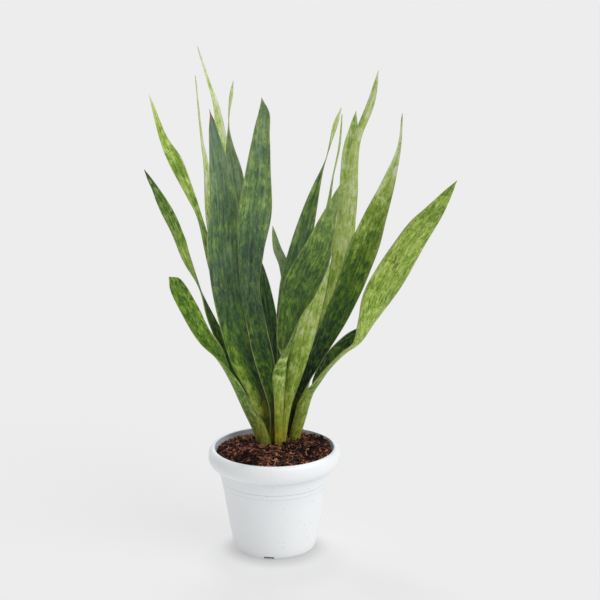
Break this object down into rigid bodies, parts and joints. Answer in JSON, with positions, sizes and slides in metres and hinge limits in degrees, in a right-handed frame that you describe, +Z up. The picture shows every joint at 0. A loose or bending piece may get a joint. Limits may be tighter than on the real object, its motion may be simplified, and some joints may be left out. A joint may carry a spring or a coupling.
{
  "type": "potted snake plant",
  "caption": "Snake plant with upright, channelled, sword-shaped leaves in three rosettes, growing in a white rimmed nursery pot of coir soil.",
  "frame": {"origin": "centre of the pot's flat base, on the surface it stands on", "axes": "+Z up; -Y towards the viewer's front side, +X to the right seen from the front"},
  "size_m": [0.3698, 0.2175, 0.6202],
  "materials": {
    "pot_plastic": "satin moulded white plastic",
    "soil": "loose coir fibre and dark potting mix",
    "rhizome": "fibrous, matt",
    "leaf": "waxy green with mottled cross bands"
  },
  "bodies": {
    "root": {"pot": "pot_plastic", "soil": "soil", "rhizome": "rhizome", "leaf_left_1": "leaf", "leaf_left_2": "leaf", "leaf_left_3": "leaf", "leaf_left_4": "leaf", "leaf_left_5": "leaf", "leaf_left_6": "leaf", "leaf_left_7": "leaf", "leaf_middle_1": "leaf", "leaf_middle_2": "leaf", "leaf_middle_3": "leaf", "leaf_middle_4": "leaf", "leaf_middle_5": "leaf", "leaf_middle_6": "leaf", "leaf_right_1": "leaf", "leaf_right_2": "leaf", "leaf_right_3": "leaf", "leaf_right_4": "leaf"}
  },
  "joints": []
}
